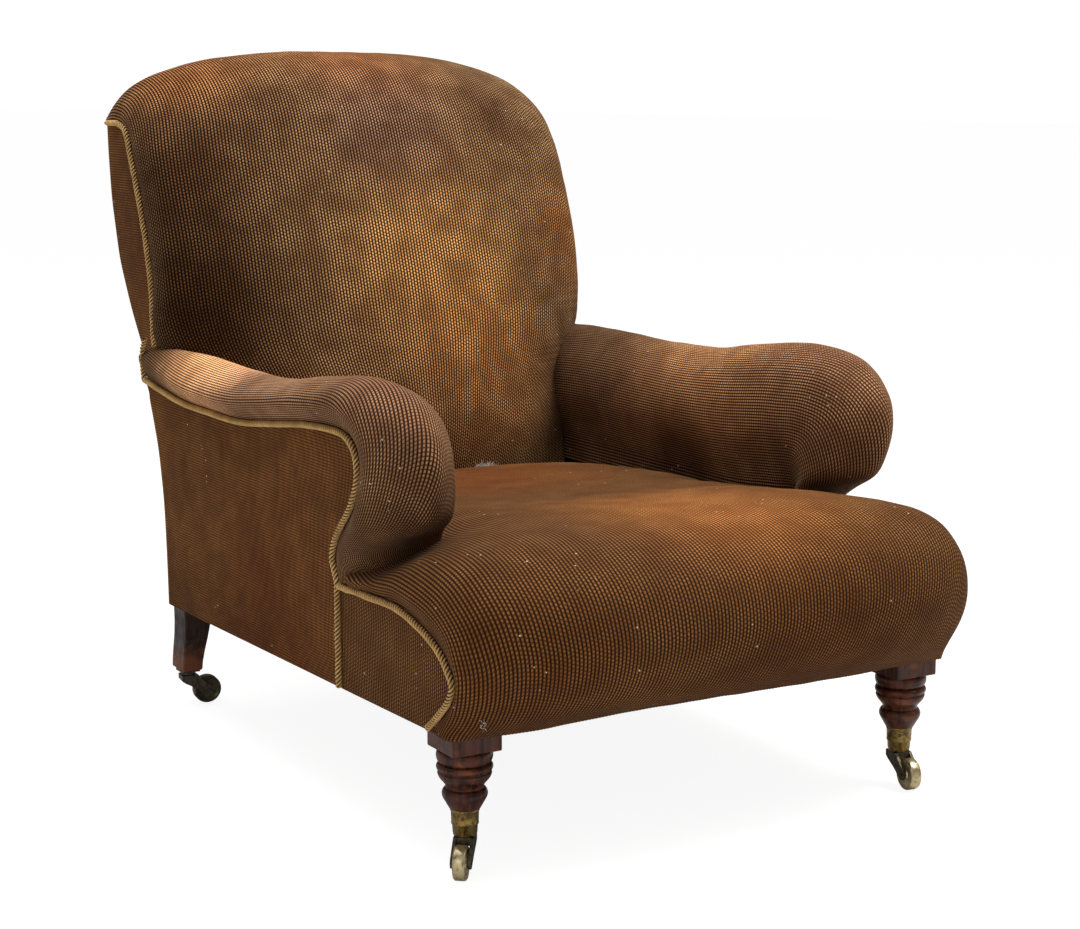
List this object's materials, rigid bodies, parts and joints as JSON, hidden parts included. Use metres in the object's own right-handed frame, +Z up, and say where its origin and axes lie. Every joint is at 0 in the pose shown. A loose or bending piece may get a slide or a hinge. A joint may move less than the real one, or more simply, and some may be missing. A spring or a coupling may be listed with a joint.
{
  "type": "armchair",
  "caption": "Low, deep upholstered easy armchair with rolled arms and a sagging sprung seat, on turned front legs, swept back legs and swivelling castors",
  "frame": {"origin": "on the floor, under the middle of the chair's outer box", "axes": "the chair faces -Y, its width runs along X, and +Z is up"},
  "size_m": [0.7062, 1.1099, 0.874],
  "materials": {
    "cover_cloth": "ribbed brown wool, faded and worn",
    "cord_twist": "twisted tan cord",
    "mahogany": "dark polish, rubbed at the edges",
    "stained_wood": "dark stain, worn red at the feet",
    "beech_frame": "bare sawn frame wood",
    "aged_brass": "aged, with pale rubbed treads",
    "dark_bronze": "dark grey-brown metal",
    "spring_steel": "dull spring wire",
    "jute_web": "woven jute straps",
    "hessian": "coarse plain hessian",
    "black_lining": "thin black cloth"
  },
  "bodies": {
    "chair": {"seat_upholstery": "cover_cloth", "back_upholstery": "cover_cloth", "left_arm_upholstery": "cover_cloth", "right_arm_upholstery": "cover_cloth", "left_outside_arm": "cover_cloth", "right_outside_arm": "cover_cloth", "left_seat_border": "cover_cloth", "right_seat_border": "cover_cloth", "left_back_side_cover": "cover_cloth", "right_back_side_cover": "cover_cloth", "outside_back": "cover_cloth", "left_arm_cord": "cord_twist", "right_arm_cord": "cord_twist", "left_seat_cord": "cord_twist", "right_seat_cord": "cord_twist", "left_back_cord": "cord_twist", "right_back_cord": "cord_twist", "left_front_leg": "mahogany", "right_front_leg": "mahogany", "left_back_post": "stained_wood", "right_back_post": "stained_wood", "front_rail": "beech_frame", "back_rail": "beech_frame", "left_side_rail": "beech_frame", "right_side_rail": "beech_frame", "crest_rail": "beech_frame", "back_stay_rail": "beech_frame", "left_arm_post": "beech_frame", "right_arm_post": "beech_frame", "left_arm_rail": "beech_frame", "right_arm_rail": "beech_frame", "left_front_castor_cup": "aged_brass", "right_front_castor_cup": "aged_brass", "left_back_castor_plate": "dark_bronze", "right_back_castor_plate": "dark_bronze", "seat_spring_1": "spring_steel", "seat_spring_2": "spring_steel", "seat_spring_3": "spring_steel", "seat_spring_4": "spring_steel", "seat_spring_5": "spring_steel", "seat_spring_6": "spring_steel", "seat_spring_7": "spring_steel", "seat_spring_8": "spring_steel", "seat_spring_9": "spring_steel", "seat_webbing": "jute_web", "back_webbing": "jute_web", "spring_canvas": "hessian", "bottom_cloth": "black_lining"},
    "left_front_swivel": {"left_front_castor_fork": "dark_bronze", "left_front_castor_axle": "dark_bronze"},
    "left_front_wheel": {"left_front_castor_wheel": "aged_brass"},
    "right_front_swivel": {"right_front_castor_fork": "dark_bronze", "right_front_castor_axle": "dark_bronze"},
    "right_front_wheel": {"right_front_castor_wheel": "aged_brass"},
    "left_back_swivel": {"left_back_castor_fork": "dark_bronze", "left_back_castor_axle": "dark_bronze"},
    "left_back_wheel": {"left_back_castor_wheel": "aged_brass"},
    "right_back_swivel": {"right_back_castor_fork": "dark_bronze", "right_back_castor_axle": "dark_bronze"},
    "right_back_wheel": {"right_back_castor_wheel": "aged_brass"}
  },
  "joints": [
    {"name": "left_front_turn", "type": "hinge", "parent": "chair", "child": "left_front_swivel", "pos_m": [-0.297, -0.4295, 0.0425], "axis": [0, 0, 1], "continuous": true},
    {"name": "left_front_roll", "type": "hinge", "parent": "left_front_swivel", "child": "left_front_wheel", "pos_m": [-0.31263, -0.44901, 0.01888], "axis": [0.7804, -0.6252, 0], "continuous": true},
    {"name": "right_front_turn", "type": "hinge", "parent": "chair", "child": "right_front_swivel", "pos_m": [0.297, -0.4295, 0.0425], "axis": [0, 0, 1], "continuous": true},
    {"name": "right_front_roll", "type": "hinge", "parent": "right_front_swivel", "child": "right_front_wheel", "pos_m": [0.29305, -0.45419, 0.01888], "axis": [0.9874, -0.1582, 0], "continuous": true},
    {"name": "left_back_turn", "type": "hinge", "parent": "chair", "child": "left_back_swivel", "pos_m": [-0.308, 0.3305, 0.0425], "axis": [0, 0, 1], "continuous": true},
    {"name": "left_back_roll", "type": "hinge", "parent": "left_back_swivel", "child": "left_back_wheel", "pos_m": [-0.28324, 0.32702, 0.01888], "axis": [0.1392, 0.9903, 0], "continuous": true},
    {"name": "right_back_turn", "type": "hinge", "parent": "chair", "child": "right_back_swivel", "pos_m": [0.308, 0.3305, 0.0425], "axis": [0, 0, 1], "continuous": true},
    {"name": "right_back_roll", "type": "hinge", "parent": "right_back_swivel", "child": "right_back_wheel", "pos_m": [0.32848, 0.31616, 0.01888], "axis": [0.5736, 0.8191, 0], "continuous": true}
  ]
}
